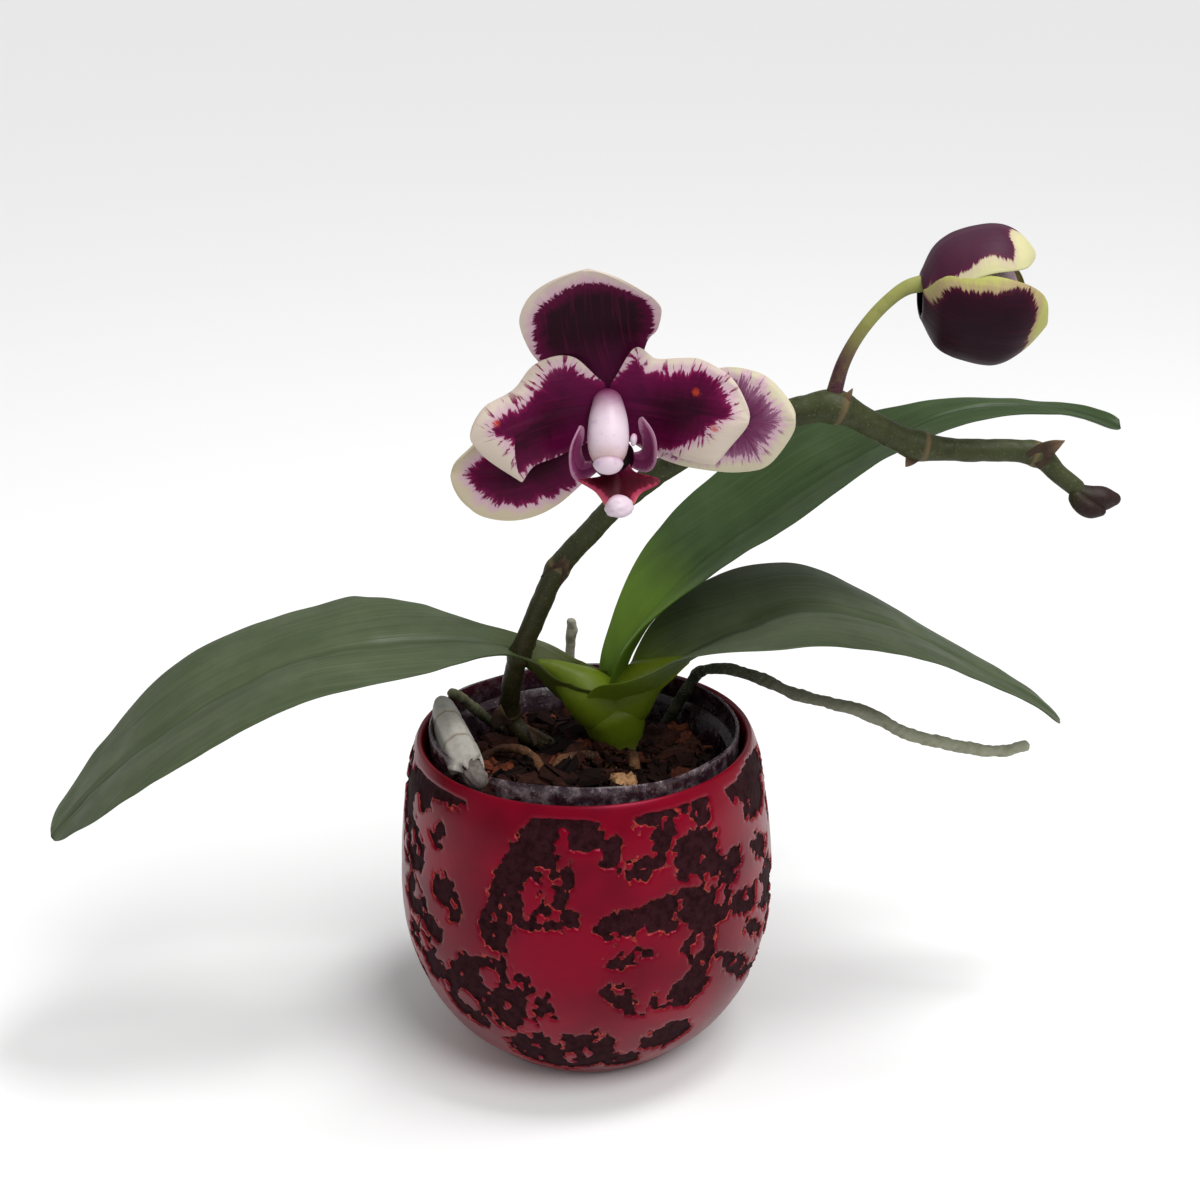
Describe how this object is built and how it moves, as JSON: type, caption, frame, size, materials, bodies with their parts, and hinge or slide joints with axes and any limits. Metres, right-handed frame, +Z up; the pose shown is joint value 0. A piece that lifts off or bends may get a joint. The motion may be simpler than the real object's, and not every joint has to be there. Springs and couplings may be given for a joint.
{
  "type": "potted moth orchid",
  "caption": "Potted moth orchid with strap leaves, an arching spike with an open flower and a splitting bud, and aerial roots, in a clear nursery pot inside a red and black glazed pot.",
  "frame": {"origin": "middle of the flat foot of the glazed pot, on the surface it stands on", "axes": "+Z up; +X to the right along the spread of the leaves, seen from the front; -Y to the front, the way the flower looks"},
  "size_m": [0.3148, 0.1109, 0.2495],
  "materials": {
    "red_glaze": "glossy red crackle glaze over matte brown-black patches",
    "clear_plastic": "thin clear plastic, dusty and mottled",
    "bark": "rough dark bark chips",
    "crown_green": "smooth yellow-green stem",
    "leaf_green": "satin leathery leaf with a sunken midrib",
    "spike_green": "olive stem with fine pale speckles and dry bracts",
    "pedicel_green": "smooth yellow-green, flushed purple at the base",
    "petal_purple": "velvety dark purple with cream jagged margins",
    "column_white": "waxy white, flushed magenta",
    "bud_purple": "satin dark purple with cream-green torn edges",
    "petal_pale": "soft pinkish white",
    "root_green": "matte silvery green root",
    "root_brown": "matte dry brown root",
    "root_silver": "papery silver-white dry root skin"
  },
  "bodies": {
    "root": {"pot": "red_glaze", "nursery_pot": "clear_plastic", "bark": "bark", "crown": "crown_green", "leaf_left": "leaf_green", "leaf_lower_right": "leaf_green", "leaf_upper_right": "leaf_green", "flower_spike": "spike_green", "flower_pedicel": "pedicel_green", "flower_column": "column_white", "flower_lip": "petal_purple", "flower_dorsal_sepal": "petal_purple", "flower_left_sepal": "petal_purple", "flower_right_sepal": "petal_purple", "flower_left_petal": "petal_purple", "flower_right_petal": "petal_purple", "bud_pedicel": "pedicel_green", "bud_upper_sepal": "bud_purple", "bud_front_sepal": "bud_purple", "bud_back_sepal": "bud_purple", "bud_petals": "petal_pale", "root_right": "root_green", "root_upright": "root_green", "root_left": "root_green", "root_stub_front": "root_brown", "root_arc_middle": "root_brown", "root_arc_left": "root_brown", "root_sleeve": "root_silver", "root_sleeve_core": "root_silver"}
  },
  "joints": []
}
